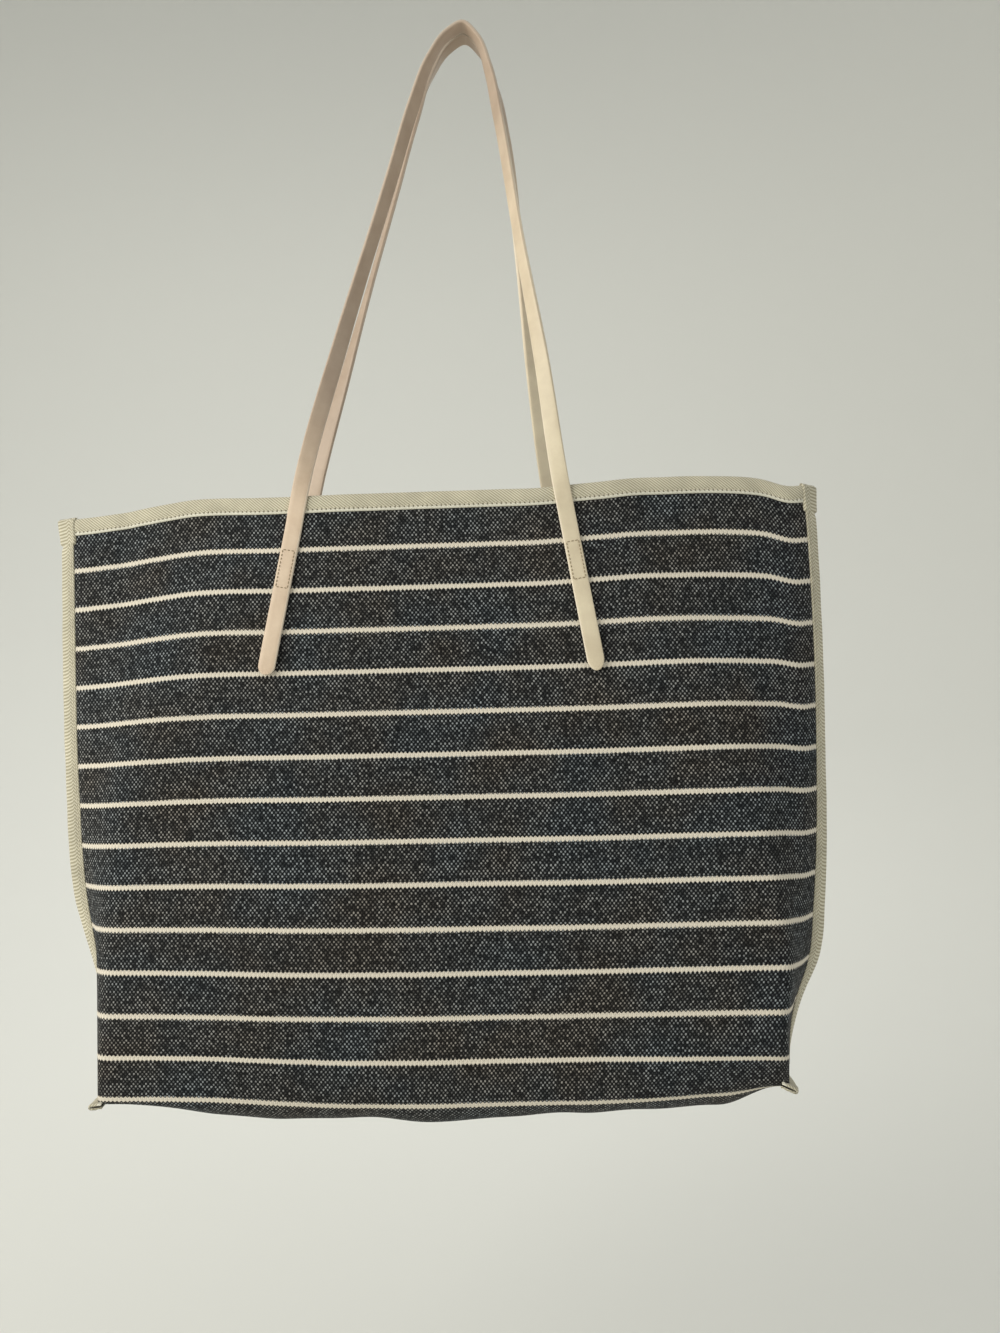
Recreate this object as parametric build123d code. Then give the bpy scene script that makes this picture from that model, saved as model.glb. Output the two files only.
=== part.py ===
from build123d import *
import math
import os

# Striped canvas beach bag, hung by its two leather handles.
# Origin at the bottom centre of the bag, +Z up, front panel towards -Y, millimetres.

# canvas body
cloth = 1.0
half_width_top = 281.0
half_width_base = 250.0
half_mouth = 28.0
half_depth = 38.0
flat_half = 125.0
fold_height = 30.0
top_height = 459.0
seam_allowance = 11.0
seam_half = 2.0 * cloth
allowance_low = fold_height + 6.0
base_lifts = [1.1 * cloth, 0.8 * cloth]

# cotton tape folded over the raw edges
tape = 0.7
tape_cover = 12.0
gap = 0.1
inner_gap = 0.25
cap_height = 19.0
binding_end_gap = 6.0
side_tape_start = 0.6
side_tape_low = fold_height + 8.0
slot_over = 2.0
corner_flange = 8.0
corner_angle = 50.0
corner_half = 32.0
corner_tape_half = 35.0
corner_tape_start = 1.8
corner_root_in = 0.6
corner_root_down = 1.0
corner_overlap = 0.5

# leather handles
strap_width = 12.5
strap_thick = 3.0
edge_x = 98.0
tail_x = 120.0
tail_drop = 130.0
tail_slope = (tail_x - edge_x) / tail_drop
tip_start = 0.8 * strap_width
cheek_drop = 0.55 * strap_width
cheek_share = 0.62
apex_x = 31.0
apex_height = 834.0
apex_y = 6.8
stand_off = 1.2
hinge_above_top = 2.0
hinge_gap = 0.2
leg_steps = 7
bend_steps = 8
bend_start = 0.42
leg_turn = 62.0
leg_turn_share = 0.55
last_turn_share = 0.8

# the hanging loop between its feet and the hook: x and height
loop_left = [(-64.0, 580.0), (-26.0, 708.0), (-8.0, 770.0), (5.5, 808.0), (18.0, 827.0)]
loop_right = [(42.0, 822.0), (50.0, 797.0), (57.0, 757.0), (71.0, 655.0), (85.0, 563.0)]

# thread
thread = 0.5
box_width = 8.8
box_height = 28.0
box_below_top = 53.0
stitch_inset = 2.2
thread_end_gap = 7.0
thread_break = 18.0
thread_break_shift = 1.5
side_thread_low = fold_height + 12.0

# height, seam x, end half-width, shoulder x, shoulder y, flat half-length, flat y
hull_levels = [
    (0.0, 120.0, 4.0, 100.0, 7.0, 50.0, 9.0),
    (12.0, 215.0, 14.0, 200.0, 25.0, 110.0, 28.0),
    (fold_height, half_width_base, 33.0, 246.0, 36.5, flat_half, half_depth),
    (110.0, 262.0, seam_half, 232.0, 30.0, flat_half, 39.0),
    (260.0, 276.0, seam_half, 205.0, 22.0, flat_half, 36.0),
    (top_height - tape_cover - 0.5, half_width_top, seam_half, 195.0, 18.0, flat_half, half_mouth),
    (top_height, half_width_top, seam_half, 195.0, 18.0, flat_half, half_mouth),
]


def level_at(z):
    """Outline numbers of the body at one height, straight between the two nearest levels."""
    below, above = hull_levels[-2], hull_levels[-1]
    for low, high in zip(hull_levels, hull_levels[1:]):
        if low[0] <= z <= high[0]:
            below, above = low, high
    share = (z - below[0]) / (above[0] - below[0])
    return [a + (b - a) * share for a, b in zip(below, above)]


def front_line(z, out):
    """Front half of the outline, left to right, moved outwards by out."""
    _, seam, end, shoulder, shoulder_y, flat, flat_y = level_at(z)
    half = [(flat, flat_y), (shoulder, shoulder_y), (seam, end)]
    right = [(x, -(y + out)) for x, y in half]
    left = [(-x, y) for x, y in reversed(right)]
    return left + right


def closed_section(z, inset, lift=0.0):
    """Whole outline of the body at one height, pulled in by inset."""
    front = front_line(z, -inset)
    if level_at(z)[2] > seam_half:
        pull = (inset, 0.0)
    else:
        # the two layers close up a little where the seam joins them
        pull = (0.0, 0.2 * inset)
    front[0] = (front[0][0] + pull[0], front[0][1] + pull[1])
    front[-1] = (front[-1][0] - pull[0], front[-1][1] + pull[1])
    back = [(x, -y) for x, y in reversed(front)]
    points = [(x, y, z + lift) for x, y in front + back]
    return Wire.make_polygon(points, close=True)


def canvas_shell():
    heights = [level[0] for level in hull_levels]
    outer = Solid.make_loft([closed_section(z, 0.0) for z in heights], True)
    lifts = base_lifts + [0.0] * (len(heights) - len(base_lifts))
    inner_wires = [closed_section(z, cloth, lift) for z, lift in zip(heights, lifts)]
    inner = Solid.make_loft(inner_wires, True)
    return outer - inner


def seam_strip(side, inner_edge, outer_edge, half_thick, low, high):
    """Flat strip that follows the side seam, standing out from the body."""
    heights = [low] + [level[0] for level in hull_levels if low < level[0] < high] + [high]
    inside = [(side * (level_at(z)[1] + inner_edge), 0, z) for z in heights]
    outside = [(side * (level_at(z)[1] + outer_edge), 0, z) for z in reversed(heights)]
    face = Face(Wire.make_polygon(inside + outside, close=True))
    return extrude(face, half_thick, dir=(0, 1, 0), both=True)


def corner_strip(side, near, far, half_thick, half_length):
    """Flat strip along the boxed corner seam, standing out and down at the base."""
    angle = math.radians(corner_angle)
    root = Vector(side * (half_width_base - corner_root_in), 0, fold_height - corner_root_down)
    along = Vector(side * math.sin(angle), 0, -math.cos(angle))
    across = Vector(along.Z, 0, -along.X)
    corners = [
        root + along * near + across * half_thick,
        root + along * far + across * half_thick,
        root + along * far - across * half_thick,
        root + along * near - across * half_thick,
    ]
    face = Face(Wire.make_polygon(corners, close=True))
    return extrude(face, half_length, dir=(0, 1, 0), both=True)


def canvas_body():
    body = canvas_shell()
    for side in (-1, 1):
        body += seam_strip(side, -0.8 * cloth, seam_allowance, cloth, allowance_low, top_height)
        body += corner_strip(side, -corner_overlap, corner_flange, cloth, corner_half)
    return body


def side_seam_tape(side):
    low = side_tape_low
    start = side_tape_start
    skin = cloth + gap + tape
    far = seam_allowance + gap + tape
    strip = seam_strip(side, start, far, skin, low, top_height)
    folded_end = seam_strip(side, start, far + tape, skin + tape, top_height - cap_height, top_height)
    lid_width = far + tape - start
    lid = Box(lid_width, 2 * (skin + tape), tape)
    lid_x = side * (half_width_top + start + lid_width / 2)
    lid = Pos(lid_x, 0, top_height + gap + tape / 2) * lid
    walls = Box(tape, 2 * (skin + tape), gap + tape)
    walls = Pos(side * (half_width_top + far + tape / 2), 0, top_height + (gap + tape) / 2) * walls
    slot = seam_strip(side, -slot_over, seam_allowance + gap, cloth + gap, low - slot_over, top_height)
    return strip + folded_end + lid + walls - slot


def corner_tape(side):
    skin = cloth + gap + tape
    cover = corner_strip(side, corner_tape_start, corner_flange + gap + tape, skin, corner_tape_half)
    slot = corner_strip(side, -slot_over, corner_flange + gap, cloth + gap, corner_half + gap)
    return cover - slot


def trimmed_line(z, out, end_gap):
    """Front outline stopped short of the side seams."""
    line = front_line(z, out)
    (sx, sy), (ex, ey) = line[-2], line[-1]
    share = (ex - end_gap - sx) / (ex - sx)
    end = (ex - end_gap, sy + (ey - sy) * share)
    return [(-end[0], end[1])] + line[1:-1] + [end]


def edge_band(low, high, out_near, out_far, end_gap):
    """Strip that follows the front panel between two heights and two distances outwards."""
    wires = []
    for z in (low, high):
        near = trimmed_line(z, out_near, end_gap)
        far = trimmed_line(z, out_far, end_gap)
        points = [(x, y, z) for x, y in near + list(reversed(far))]
        wires.append(Wire.make_polygon(points, close=True))
    return Solid.make_loft(wires, True)


def front_binding():
    end_gap = binding_end_gap
    low = top_height - tape_cover
    outside = edge_band(low, top_height, gap, gap + tape, end_gap)
    inside = edge_band(low, top_height, -cloth - inner_gap - tape, -cloth - inner_gap, end_gap)
    outer = [(x, y, top_height) for x, y in trimmed_line(top_height, gap + tape, end_gap)]
    inner = [(x, y, top_height) for x, y in trimmed_line(top_height, -cloth - inner_gap - tape, end_gap)]
    face = Face(Wire.make_polygon(outer + list(reversed(inner)), close=True))
    fold = extrude(face, gap + tape, dir=(0, 0, 1))
    outer = [(x, y, top_height) for x, y in trimmed_line(top_height, gap, end_gap)]
    inner = [(x, y, top_height) for x, y in trimmed_line(top_height, -cloth - inner_gap, end_gap)]
    face = Face(Wire.make_polygon(outer + list(reversed(inner)), close=True))
    hollow = extrude(face, gap, dir=(0, 0, 1))
    return outside + inside + (fold - hollow)


def front_binding_thread():
    low = top_height - tape_cover + stitch_inset
    out = gap + tape + gap / 2
    row = edge_band(low, low + thread, out, out + thread, thread_end_gap)
    # the row stops beside each handle, which is sewn over it
    for side in (-1, 1):
        gap_x = side * (edge_x + thread_break_shift)
        row -= Pos(gap_x, -half_mouth, low) * Box(thread_break, tape_cover, tape_cover)
    return row


def side_seam_thread(side):
    face_y = cloth + gap + tape + gap / 2
    high = top_height - cap_height - cloth
    row = seam_strip(side, stitch_inset, stitch_inset + thread, thread / 2, side_thread_low, high)
    return [Pos(0, sign * (face_y + thread / 2), 0) * row for sign in (-1, 1)]


def panel_lean():
    """Angle of the upper front panel from upright, in degrees."""
    low, high = hull_levels[-3], hull_levels[-1]
    return math.degrees(math.atan2(low[6] - high[6], high[0] - low[0]))


def on_panel(shape, out):
    """Lays a flat shape drawn in the XZ plane on the front panel, out from its cloth."""
    return Pos(0, -half_mouth - out, top_height) * Rot(-panel_lean(), 0, 0) * shape


def tail_outline(side):
    """Outline of one sewn handle end, in x and height from the panel's top edge."""
    half = strap_width / 2 / math.cos(math.atan(tail_slope))
    top = hinge_above_top - hinge_gap
    shoulder = tip_start - tail_drop
    cheek = shoulder - cheek_drop
    right = [(half, top), (half, shoulder), (half * cheek_share, cheek)]
    left = [(-x, z) for x, z in reversed(right)]
    points = [(edge_x - z * tail_slope + x, z) for x, z in right + [(0, -tail_drop)] + left]
    return [(side * x, 0, z) for x, z in points]


def front_tails():
    tails = []
    for side in (-1, 1):
        face = Face(Wire.make_polygon(tail_outline(side), close=True))
        plate = extrude(face, strap_thick, dir=(0, -1, 0))
        tails.append(on_panel(plate, stand_off))
    return tails


def front_box_threads():
    """Small sewn rectangle that holds each handle end to the panel."""
    frames = []
    for side in (-1, 1):
        outer = Box(box_width, thread, box_height)
        inner = Box(box_width - 2 * thread, 2 * thread, box_height - 2 * thread)
        frame = Rot(0, side * math.degrees(math.atan(tail_slope)), 0) * (outer - inner)
        x = side * (edge_x + box_below_top * tail_slope)
        frame = Pos(x, -thread / 2, -box_below_top) * frame
        frames.append(on_panel(frame, stand_off + strap_thick + gap / 2))
    return frames


def smooth(share):
    share = min(max(share, 0.0), 1.0)
    return share * share * (3 - 2 * share)


def handle_line():
    """Middle of the hanging strip, from the left foot over the hook to the right foot."""
    foot_z = top_height + hinge_above_top + hinge_gap
    foot_y = half_mouth + stand_off + strap_thick / 2
    line = []
    for x, z in [(-edge_x, foot_z)] + loop_left + [(apex_x, apex_height)] + loop_right + [(edge_x, foot_z)]:
        share = (z - foot_z) / (apex_height - foot_z)
        line.append(Vector(x, -foot_y + (foot_y - apex_y) * share, z))
    return Edge.make_spline(line)


def strap_section(centre, width, face):
    """Rectangle across the strap: width runs across it, face points out of its grain side."""
    a, b = width * (strap_width / 2), face * (strap_thick / 2)
    return Wire.make_polygon([centre + a + b, centre - a + b, centre - a - b, centre + a - b],
                             close=True)


def front_handle():
    """Strip that lies flat to the panel at both feet and turns inwards to lie flat on the hook."""
    line = handle_line()
    marks = [bend_start * step / leg_steps for step in range(leg_steps)]
    marks += [bend_start + (0.5 - bend_start) * step / bend_steps for step in range(bend_steps)]
    marks += [0.5] + [1 - mark for mark in reversed(marks)]
    inwards = Vector(0, 1, 0)
    sections = []
    for mark in marks:
        side = -1 if mark <= 0.5 else 1
        run = line.tangent_at(mark) * -side
        across = Vector(run.Z, 0, -run.X).normalized()
        share = 1 - abs(2 * mark - 1)
        turn = leg_turn * smooth(share / leg_turn_share)
        turn += (90 - leg_turn) * smooth((share - last_turn_share) / (1 - last_turn_share))
        turn = math.radians(turn)
        width = across * math.cos(turn) - inwards * math.sin(turn) * side
        face = across * math.sin(turn) * -side - inwards * math.cos(turn)
        if share == 0:
            # the foot is cut level, where the handle bends over the edge of the bag
            width = Vector(1 / across.X, 0, 0)
        sections.append(strap_section(line.position_at(mark), width * -side, face))
    return Solid.make_loft(sections, True)


def to_back(shapes):
    """The same pieces on the back panel."""
    return [mirror(shape, about=Plane.XZ) for shape in shapes]


def save(node, shapes):
    os.makedirs("parts", exist_ok=True)
    solids = []
    for shape in shapes:
        solids += list(shape.solids())
    piece = solids[0] if len(solids) == 1 else Compound(children=solids)
    piece.label = node
    export_step(piece, f"parts/{node}.step")


save("canvas_body", [canvas_body()])
for name, side in (("left", -1), ("right", 1)):
    save(f"side_seam_tape_{name}", [side_seam_tape(side)])
    save(f"side_seam_thread_{name}", side_seam_thread(side))
    save(f"corner_tape_{name}", [corner_tape(side)])
front_pieces = {
    "top_binding": [front_binding()],
    "binding_thread": [front_binding_thread()],
    "handle": [front_handle()],
    "handle_ends": front_tails(),
    "handle_box_thread": front_box_threads(),
}
for name, shapes in front_pieces.items():
    save(f"{name}_front", shapes)
    save(f"{name}_back", to_back(shapes))
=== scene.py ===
import math

import bmesh
import bpy
import numpy as np
from mathutils import Matrix, Vector, noise
from mathutils.bvhtree import BVHTree


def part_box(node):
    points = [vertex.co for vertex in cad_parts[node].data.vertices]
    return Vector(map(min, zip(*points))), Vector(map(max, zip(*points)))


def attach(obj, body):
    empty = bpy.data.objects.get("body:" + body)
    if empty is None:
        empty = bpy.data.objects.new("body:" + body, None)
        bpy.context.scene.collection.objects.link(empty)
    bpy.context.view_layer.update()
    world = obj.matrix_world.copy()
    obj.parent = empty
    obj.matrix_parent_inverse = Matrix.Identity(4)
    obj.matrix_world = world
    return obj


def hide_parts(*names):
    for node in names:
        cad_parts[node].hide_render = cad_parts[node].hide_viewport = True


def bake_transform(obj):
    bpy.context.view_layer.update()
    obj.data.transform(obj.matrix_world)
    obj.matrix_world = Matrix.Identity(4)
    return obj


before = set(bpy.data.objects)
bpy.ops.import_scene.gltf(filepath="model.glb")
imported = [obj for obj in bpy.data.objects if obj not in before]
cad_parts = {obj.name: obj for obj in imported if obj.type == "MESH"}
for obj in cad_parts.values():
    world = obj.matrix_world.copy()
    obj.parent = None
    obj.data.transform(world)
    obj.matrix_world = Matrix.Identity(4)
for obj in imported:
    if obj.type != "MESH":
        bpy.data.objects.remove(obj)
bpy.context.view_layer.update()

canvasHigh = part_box("canvas_body")[1]
mm = 0.001

bag = {
    "seamAllowance": 11 * mm,      # cloth that stands out past each side seam, inside the tape
    "baseDepth": 72 * mm,          # length of the short seam across each boxed corner
    "foldHeight": 24 * mm,         # how much less than the bag's height one panel measures
    "mouthHalf": 28 * mm,          # how far each panel stands from the middle at the top
    "bellyHalf": 37.5 * mm,        # the same, low on the panel
    "clothThickness": 1.0 * mm,
    "gridStep": 6 * mm,
    "baseRows": 12,
    "layerGap": 0.6 * mm,          # half the distance between the two layers of a seam
    "sharpestBend": 88,            # degrees that a row may turn away from the panel
    "basePull": 7.5 * mm,          # how far the sagging base draws the bottom edge in
    "cornerPull": 7 * mm,          # and how far the right corner goes back
    "creaseX": -235 * mm,          # the long crease near the left top
    "creaseDepth": 1.4 * mm,
    "stripeFirst": 40 * mm,        # top edge to the first stripe
    "stripePitch": 30.4 * mm,
    "leftDroop": 6.5 * mm,         # the left top corner hangs lower
    "rightDip": 3.5 * mm,          # the right end dips just before its seam
    "rightLift": 9 * mm,           # the right end of the base is drawn up
    "leftLift": 1 * mm,            # and the left end a little, from higher up
    "middleSag": 3.5 * mm,         # the lower half of the panel hangs lower in the middle
    "baseBulge": 4.5 * mm,
    "rightTuck": 8 * mm,           # the right end turns under sooner at the base
    "leftShow": 4 * mm,            # and the left end later
}
topZ = canvasHigh[2]
halfWidth = canvasHigh[0] - bag["seamAllowance"]
panelHeight = topZ - bag["foldHeight"]
halfBase = halfWidth - bag["baseDepth"] / 2
clothLength = 2 * panelHeight + bag["baseDepth"]
# distance down the panel against the half-width at the seams and the sideways lean of the whole bag, in mm
seamReach = [(0, 279.3), (67, 278), (158, 274.3), (290, 264.5), (343, 259.5), (381, 256), (432, 250)]
sideLean = [(0, -0.7), (67, 2), (158, 5.3), (290, 8), (343, 7), (381, 5.5), (432, 2.5)]

# along the cloth in mm: how far the top edge waves above its level, and how deep the base sags, as a share
topWave = [(-292, 1), (-240, 2), (-200, 3.3), (-180, 3.7), (-160, 2.6), (-125, 0.6), (-90, 0), (-60, 0),
           (50, 0), (80, 0), (109, 2), (129, 3.6), (150, 5.7), (175, 6.6), (205, 7.4), (240, 6.4),
           (262, 4.2), (275, 2.8), (292, 2)]
baseSag = [(-250, 1.1), (-203, 1.13), (-180, 1.18), (-150, 1.1), (-105, 0.94), (-50, 0.84), (-8, 0.99),
           (50, 0.8), (85, 0.8), (109, 0.88), (150, 1), (190, 1.15), (250, 1.25)]


def smoothStep(t):
    t = np.clip(t, 0.0, 1.0)
    return t * t * (3 - 2 * t)


def uneven(x, y, z):
    return noise.noise(Vector((x, y, z)))


def through(points, t):
    # smooth curve through (place, value) pairs
    xs, ys = np.array(points, float).T
    slopes = np.gradient(ys, xs)
    i = np.clip(np.searchsorted(xs, t) - 1, 0, len(xs) - 2)
    step = xs[i + 1] - xs[i]
    k = np.clip((t - xs[i]) / step, 0, 1)
    a = (1 + 2 * k) * (1 - k) ** 2 * ys[i] + k * (1 - k) ** 2 * step * slopes[i]
    b = k * k * (3 - 2 * k) * ys[i + 1] + k * k * (k - 1) * step * slopes[i + 1]
    return a + b


def meshPiece(name, points, faces, uvs=None, closed=False):
    # uvs holds one (u, v) in metres for each corner of each face
    mesh = bpy.data.meshes.new(name)
    mesh.from_pydata([tuple(p) for p in points], [], faces)
    if uvs is not None:
        layer = mesh.uv_layers.new(name="clothMetres")
        layer.data.foreach_set("uv", np.array(uvs, np.float32).ravel())
    mesh.polygons.foreach_set("use_smooth", [True] * len(mesh.polygons))
    mesh.validate()
    if closed:
        shape = bmesh.new()
        shape.from_mesh(mesh)
        bmesh.ops.recalc_face_normals(shape, faces=shape.faces)
        shape.to_mesh(mesh)
        shape.free()
    mesh.update()
    piece = bpy.data.objects.new(name, mesh)
    bpy.context.scene.collection.objects.link(piece)
    return piece


def ringFaces(start, rings, count):
    # four-sided faces between neighbouring rings of points
    faces = []
    for r in range(rings - 1):
        near, far = start + r * count, start + (r + 1) * count
        for c in range(count):
            d = (c + 1) % count
            faces.append([near + c, near + d, far + d, far + c])
    return faces


def runLengths(points):
    # distance along a line of points, at each of them
    steps = np.linalg.norm(np.diff(points, axis=0), axis=1)
    return np.concatenate([[0], np.cumsum(steps)])


def along3(lengths, table, place):
    return Vector([float(np.interp(place, lengths, table[:, k])) for k in range(3)])


def applyModifiers(piece):
    depsgraph = bpy.context.evaluated_depsgraph_get()
    mesh = bpy.data.meshes.new_from_object(piece.evaluated_get(depsgraph))
    piece.modifiers.clear()
    piece.data = mesh
    return piece


view = {
    "place": (88 * mm, -748.6 * mm, 275.6 * mm),
    "aim": (50.1 * mm, -30 * mm, 329.5 * mm),
    "rollDegrees": -1.28,
    "lens": 27.05,
}


def makeCamera():
    camera = bpy.data.objects.new("mainCamera", bpy.data.cameras.new("mainCamera"))
    camera.data.lens = view["lens"]
    camera.data.sensor_width = 36
    place, aim = Vector(view["place"]), Vector(view["aim"])
    turn = (aim - place).to_track_quat("-Z", "Y").to_matrix().to_4x4()
    roll = Matrix.Rotation(math.radians(view["rollDegrees"]), 4, "Z")
    camera.matrix_world = Matrix.Translation(place) @ turn @ roll
    camera.data.clip_start = 0.01
    bpy.context.scene.collection.objects.link(camera)
    bpy.context.scene.camera = camera


# Each panel is followed down in rows. Along a row the cloth runs straight, then turns back to reach the
# side seam. The turn is gentle at the top and becomes the sharp corner of the base lower down.
turnSpread = {-1: [(0, 70), (0.15, 62), (0.35, 48), (0.6, 24), (0.8, 11), (1, 5)],
              1: [(0, 60), (0.15, 50), (0.35, 30), (0.6, 10), (0.8, 5), (1, 3.5)]}
# how far the side wall caves in behind the fold, in mm
caveIn = {-1: [(0, 0), (0.66, 0), (0.78, 8), (0.92, 7), (1, 2)], 1: [(0, 0), (0.8, 0), (0.9, 2), (1, 1.5)]}
rightTurn = {
    "share": [(0, 0.55), (0.3, 0.5), (0.6, 0.15), (0.8, 0), (1, 0)],
    "centre": 266 * mm,
    "spread": 9 * mm,
}

# how far the panel bows back before the fold, in mm
bowBack = {-1: [(0, 0), (0.35, 4), (0.55, 9), (0.75, 8.5), (0.9, 4), (1, 0)], 1: [(0, 0), (1, 0)]}

# how much narrower the cloth hangs near the base, as a share of its width
drawIn = {-1: [(0, 0), (0.45, -0.003), (0.6, -0.01), (0.8, -0.014), (0.92, -0.004), (1, 0.008)],
          1: [(0, 0), (0.3, 0.002), (0.5, 0.008), (0.7, 0.007), (0.79, 0.006), (0.865, 0.028), (1, 0.031)]}


def panelOut(h):
    return through([(0, bag["mouthHalf"]), (0.45, 34.5 * mm), (0.8, bag["bellyHalf"]), (1, 36 * mm)], h)


def rowHalf(h, side, along):
    # one half of a row: distances from the middle out to the seam, gives x and y along it
    reach = panelOut(h) - 1.2 * mm
    seam = through(seamReach, h * panelHeight / mm) * mm
    bow = through(bowBack[side], h) * mm
    centre = (halfWidth ** 2 - seam ** 2 - (reach - bow) ** 2) / (2 * (halfWidth - seam))
    centre = min(max(centre, 110 * mm), halfWidth - reach - 0.6 * mm)
    spread = min(through(turnSpread[side], h) * mm, centre - 20 * mm)
    shape = smoothStep((along - centre + spread) / (2 * spread))
    if side > 0:
        share = max(through(rightTurn["share"], h), 0)
        near = smoothStep((along - rightTurn["centre"] + rightTurn["spread"]) / (2 * rightTurn["spread"]))
        shape = (1 - share) * shape + share * near * 1.6
    mid = (shape[1:] + shape[:-1]) / 2
    gentle = 2 * bow / centre * smoothStep(along[1:] / centre)
    step = np.diff(along)
    sharpest = math.radians(bag["sharpestBend"])
    low, high = 0.0, math.radians(120)
    for _ in range(40):            # halve the range of bends until the row just reaches the seam
        bend = (low + high) / 2
        heading = np.minimum(gentle + mid * bend, sharpest)
        if np.sum(np.sin(heading) * step) < reach:
            low = bend
        else:
            high = bend
    x = np.concatenate([[0], np.cumsum(np.cos(heading) * step)])
    y = np.concatenate([[0], np.cumsum(np.sin(heading) * step)])
    x = x - through(caveIn[side], h) * mm * smoothStep((along - centre) / (halfWidth - centre)) ** 3
    return x, y


# how far the seam allowance leans back, in degrees
flangeLean = {-1: [(0, 20), (0.4, 13), (0.68, 18), (0.8, 48), (1, 30)],
              1: [(0, 40), (0.5, 43), (0.75, 30), (1, 15)]}


def flangeFrame(side, t):
    # direction that the seam allowance stands in, and the direction through it, at a share t of the way down
    sway = math.radians(5) * uneven(t * 4.2, 2.5 * side, 0)
    sway += math.radians(through(flangeLean[side], t))
    sway += math.radians(58) * float(smoothStep((t - 0.74) / 0.26))
    out = Vector((side * math.cos(sway), math.sin(sway), 0))
    return out, Vector((-math.sin(sway) * side, math.cos(sway), 0))


def panelGrid(columns, rows, seed):
    # positions of the front panel: rows down from the top edge, columns across the cloth
    fine = np.linspace(0, halfWidth, 500)
    grid = np.zeros((len(rows), len(columns), 3))
    inside = np.abs(columns) <= halfWidth + 1e-9
    for r, v in enumerate(rows):
        h = v / panelHeight
        out = panelOut(h)
        for side in (-1, 1):
            x, y = rowHalf(h, side, fine)
            mine = np.where((columns * side >= 0) & inside)[0]
            s = np.abs(columns[mine])
            grid[r, mine, 0] = side * np.interp(s, fine, x) * (1 - through(drawIn[side], h))
            grid[r, mine, 1] = -out + np.interp(s, fine, y)
        # the middle of the base is pulled in where the cloth sags
        pull = bag["basePull"] * smoothStep((h - 0.72) / 0.28)
        grid[r, :, 1] += pull * np.clip(1 - (columns / halfBase) ** 2, 0, 1) ** 1.2
        corner = smoothStep((columns - 130 * mm) / (105 * mm)) * smoothStep((h - 0.9) / 0.1)
        grid[r, :, 1] += bag["cornerPull"] * corner * inside * (columns < halfBase + 8 * mm)
        grid[r, :, 0] += through(sideLean, v / mm) * mm
    step = np.diff(rows)[:, None]
    flatX = grid[:, :, 0] - through(sideLean, rows / mm)[:, None] * mm
    dx, dy = np.diff(flatX, axis=0), np.diff(grid[:, :, 1], axis=0)
    drop = np.sqrt(np.maximum(step ** 2 - dx ** 2 - dy ** 2, (0.3 * step) ** 2))
    grid[0, :, 2] = topZ
    grid[1:, :, 2] = topZ - np.cumsum(drop, axis=0)
    fade = 1 - 0.8 * smoothStep(rows / (0.8 * panelHeight))
    droop = bag["leftDroop"] * smoothStep((-columns - 140 * mm) / (halfWidth - 140 * mm))
    droop = droop + bag["rightDip"] * np.exp(-((columns - 266 * mm) / (13 * mm)) ** 2)
    grid[:, :, 2] -= droop[None, :] * fade[:, None]
    low = smoothStep((rows / panelHeight - 0.9) / 0.1)[:, None]
    grid[:, :, 2] += bag["rightLift"] * smoothStep((columns - 100 * mm) / (140 * mm))[None, :] * low
    low = smoothStep((rows / panelHeight - 0.6) / 0.4)[:, None]
    grid[:, :, 2] += bag["leftLift"] * smoothStep((-columns - 110 * mm) / (135 * mm))[None, :] * low
    grid[:, :, 2] -= bag["middleSag"] * np.exp(-((columns + 30 * mm) / (130 * mm)) ** 2)[None, :] * low
    wave = np.array([through(topWave, s / mm) for s in columns]) * mm
    grid[:, :, 2] += wave[None, :] * np.exp(-(rows / (90 * mm)) ** 2)[:, None]
    ripple(grid, columns, rows, seed)
    for side in (-1, 1):
        seam = np.argmin(np.abs(columns - side * halfWidth))
        for c in np.where(columns * side > halfWidth + 1e-9)[0]:
            past = abs(columns[c]) - halfWidth
            for r, v in enumerate(rows):
                out, sideways = flangeFrame(side, v / panelHeight)
                narrow = 1 - 0.8 * smoothStep((v / panelHeight - 0.93) / 0.07)
                grid[r, c] = grid[r, seam] * (1, 0, 1) + np.array(out) * past * narrow
                grid[r, c] -= np.array(sideways) * bag["layerGap"]
    return grid


def ripple(grid, columns, rows, seed):
    # soft hollows over the panel, a long crease near the left top, and puckers beside the sewn edges
    for r, v in enumerate(rows):
        nearTop = math.exp(-v / (20 * mm))
        for c, s in enumerate(columns):
            if abs(s) > halfWidth:
                continue
            wide = uneven(s / 0.13, v / 0.2, seed) * 2.0
            wide += uneven(s / 0.055, v / 0.1, seed + 2) * 0.9
            fromSeam = halfWidth - abs(s)
            nearSeam = math.exp(-fromSeam / (16 * mm))
            edge = 1 - math.exp(-fromSeam / (12 * mm))
            small = uneven(s / 0.022, v / 0.022, seed + 7)
            crease = math.exp(-((s - bag["creaseX"] + v * 0.06) / (7 * mm)) ** 2)
            crease *= float(1 - smoothStep((v - 60 * mm) / (90 * mm)))
            soft = wide * edge + small * (0.7 * nearTop * edge + 0.3 * nearSeam)
            grid[r, c, 1] += (soft + bag["creaseDepth"] / mm * crease) * mm


def tuck(across):
    sooner = bag["rightTuck"] * float(smoothStep((across - 100 * mm) / (140 * mm)))
    return sooner - bag["leftShow"] * float(smoothStep((-across - 60 * mm) / (120 * mm)))


def clothDown(across, down):
    # distance down the cloth that shows at a place on the front panel
    return down - tuck(across) * float(smoothStep((down / panelHeight - 0.86) / 0.14))


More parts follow.
